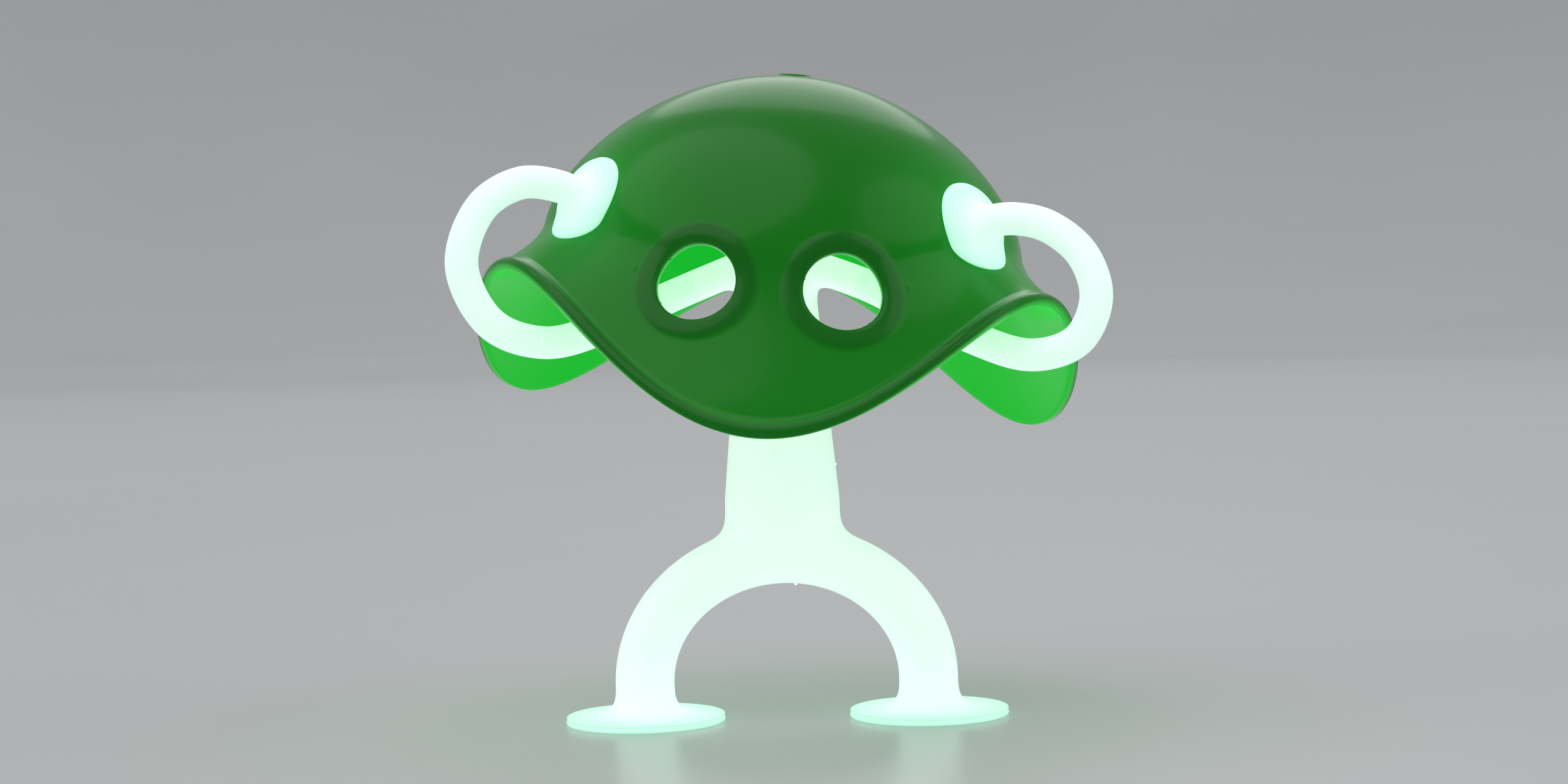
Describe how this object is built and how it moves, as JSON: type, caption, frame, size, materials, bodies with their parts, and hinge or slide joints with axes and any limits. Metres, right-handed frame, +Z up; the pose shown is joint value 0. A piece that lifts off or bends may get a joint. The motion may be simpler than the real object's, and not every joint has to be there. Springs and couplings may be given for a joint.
{
  "type": "suction figure with shell",
  "caption": "Stretchy desk toy: a suction-cup figure in an arch stance that wears a lobed translucent shell with round eye holes.",
  "frame": {"origin": "under the middle of the object, on the surface that the two foot cups stick to", "axes": "+Z up; the front, with the two eye holes, faces -Y; +X to the right seen from the front"},
  "size_m": [0.1193, 0.1163, 0.1247],
  "materials": {
    "silicone": "satin",
    "shell": "gloss"
  },
  "bodies": {
    "hips": {"hips": "silicone"},
    "waist": {"waist": "silicone"},
    "upper_body": {"chest": "silicone", "head": "silicone", "crown_cup": "silicone", "shell": "shell", "left_upper_arm": "silicone", "right_upper_arm": "silicone"},
    "left_leg": {"left_leg": "silicone"},
    "left_foot": {"left_foot_cup": "silicone"},
    "right_leg": {"right_leg": "silicone"},
    "right_foot": {"right_foot_cup": "silicone"},
    "left_arm_1": {"left_arm_1": "silicone"},
    "left_arm_2": {"left_arm_2": "silicone"},
    "left_arm_3": {"left_arm_3": "silicone"},
    "left_arm_4": {"left_arm_4": "silicone"},
    "left_arm_5": {"left_arm_5": "silicone"},
    "left_arm_6": {"left_arm_6": "silicone"},
    "left_hand": {"left_hand_cup": "silicone"},
    "right_arm_1": {"right_arm_1": "silicone"},
    "right_arm_2": {"right_arm_2": "silicone"},
    "right_arm_3": {"right_arm_3": "silicone"},
    "right_arm_4": {"right_arm_4": "silicone"},
    "right_arm_5": {"right_arm_5": "silicone"},
    "right_arm_6": {"right_arm_6": "silicone"},
    "right_hand": {"right_hand_cup": "silicone"}
  },
  "joints": [
    {"name": "waist_nod", "type": "hinge", "parent": "hips", "child": "waist", "pos_m": [-0.00046, 0.00076, 0.0444], "axis": [1, 0, 0], "range_deg": [-12, 12], "stiffness_Nm_per_rad": 0.35},
    {"name": "waist_lean", "type": "hinge", "parent": "waist", "child": "upper_body", "pos_m": [-0.00046, 0.00076, 0.0634], "axis": [0, 1, 0], "range_deg": [-12, 12], "stiffness_Nm_per_rad": 0.35},
    {"name": "left_hip", "type": "hinge", "parent": "hips", "child": "left_leg", "pos_m": [-0.01503, 0.00076, 0.02826], "axis": [0, 1, 0], "range_deg": [-10, 10], "stiffness_Nm_per_rad": 0.5},
    {"name": "left_ankle", "type": "hinge", "parent": "left_leg", "child": "left_foot", "pos_m": [-0.02776, 0.00076, 0.0104], "axis": [0, 1, 0], "range_deg": [-10, 10], "stiffness_Nm_per_rad": 0.4},
    {"name": "right_hip", "type": "hinge", "parent": "hips", "child": "right_leg", "pos_m": [0.01411, 0.00076, 0.02826], "axis": [0, 1, 0], "range_deg": [-10, 10], "stiffness_Nm_per_rad": 0.5},
    {"name": "right_ankle", "type": "hinge", "parent": "right_leg", "child": "right_foot", "pos_m": [0.02684, 0.00076, 0.0104], "axis": [0, 1, 0], "range_deg": [-10, 10], "stiffness_Nm_per_rad": 0.4},
    {"name": "left_arm_curl_1", "type": "hinge", "parent": "upper_body", "child": "left_arm_1", "pos_m": [-0.04128, -0.02782, 0.0745], "axis": [0.5736, -0.8192, 0], "range_deg": [0, 25]},
    {"name": "left_arm_curl_2", "type": "hinge", "parent": "left_arm_1", "child": "left_arm_2", "pos_m": [-0.04853, -0.0329, 0.07588], "axis": [0.5736, -0.8192, 0], "range_deg": [0, 25]},
    {"name": "left_arm_curl_3", "type": "hinge", "parent": "left_arm_2", "child": "left_arm_3", "pos_m": [-0.05429, -0.03693, 0.08125], "axis": [0.5736, -0.8192, 0], "range_deg": [0, 25]},
    {"name": "left_arm_curl_4", "type": "hinge", "parent": "left_arm_3", "child": "left_arm_4", "pos_m": [-0.05673, -0.03864, 0.0896], "axis": [0.5736, -0.8192, 0], "range_deg": [0, 25]},
    {"name": "left_arm_curl_5", "type": "hinge", "parent": "left_arm_4", "child": "left_arm_5", "pos_m": [-0.05408, -0.03678, 0.09789], "axis": [0.5736, -0.8192, 0], "range_deg": [0, 25]},
    {"name": "left_arm_curl_6", "type": "hinge", "parent": "left_arm_5", "child": "left_arm_6", "pos_m": [-0.04815, -0.03263, 0.10301], "axis": [0.5736, -0.8192, 0], "range_deg": [0, 25]},
    {"name": "left_arm_curl_7", "type": "hinge", "parent": "left_arm_6", "child": "left_hand", "pos_m": [-0.04089, -0.02755, 0.10325], "axis": [0.5736, -0.8192, 0], "range_deg": [0, 25]},
    {"name": "right_arm_curl_1", "type": "hinge", "parent": "upper_body", "child": "right_arm_1", "pos_m": [0.03951, -0.02723, 0.07152], "axis": [0.5736, 0.8192, 0], "range_deg": [0, 25]},
    {"name": "right_arm_curl_2", "type": "hinge", "parent": "right_arm_1", "child": "right_arm_2", "pos_m": [0.04629, -0.03197, 0.07001], "axis": [0.5736, 0.8192, 0], "range_deg": [0, 25]},
    {"name": "right_arm_curl_3", "type": "hinge", "parent": "right_arm_2", "child": "right_arm_3", "pos_m": [0.05293, -0.03663, 0.07207], "axis": [0.5736, 0.8192, 0], "range_deg": [0, 25]},
    {"name": "right_arm_curl_4", "type": "hinge", "parent": "right_arm_3", "child": "right_arm_4", "pos_m": [0.05664, -0.03922, 0.07896], "axis": [0.5736, 0.8192, 0], "range_deg": [0, 25]},
    {"name": "right_arm_curl_5", "type": "hinge", "parent": "right_arm_4", "child": "right_arm_5", "pos_m": [0.05517, -0.0382, 0.08701], "axis": [0.5736, 0.8192, 0], "range_deg": [0, 25]},
    {"name": "right_arm_curl_6", "type": "hinge", "parent": "right_arm_5", "child": "right_arm_6", "pos_m": [0.05004, -0.0346, 0.09255], "axis": [0.5736, 0.8192, 0], "range_deg": [0, 25]},
    {"name": "right_arm_curl_7", "type": "hinge", "parent": "right_arm_6", "child": "right_hand", "pos_m": [0.04344, -0.02998, 0.09484], "axis": [0.5736, 0.8192, 0], "range_deg": [0, 25]}
  ],
  "couplings": [
    {"joint": "left_arm_curl_2", "follows": "left_arm_curl_1", "ratio": 1},
    {"joint": "left_arm_curl_3", "follows": "left_arm_curl_1", "ratio": 1},
    {"joint": "left_arm_curl_4", "follows": "left_arm_curl_1", "ratio": 1},
    {"joint": "left_arm_curl_5", "follows": "left_arm_curl_1", "ratio": 1},
    {"joint": "left_arm_curl_6", "follows": "left_arm_curl_1", "ratio": 1},
    {"joint": "left_arm_curl_7", "follows": "left_arm_curl_1", "ratio": 1},
    {"joint": "right_arm_curl_2", "follows": "right_arm_curl_1", "ratio": 1},
    {"joint": "right_arm_curl_3", "follows": "right_arm_curl_1", "ratio": 1},
    {"joint": "right_arm_curl_4", "follows": "right_arm_curl_1", "ratio": 1},
    {"joint": "right_arm_curl_5", "follows": "right_arm_curl_1", "ratio": 1},
    {"joint": "right_arm_curl_6", "follows": "right_arm_curl_1", "ratio": 1},
    {"joint": "right_arm_curl_7", "follows": "right_arm_curl_1", "ratio": 1}
  ]
}
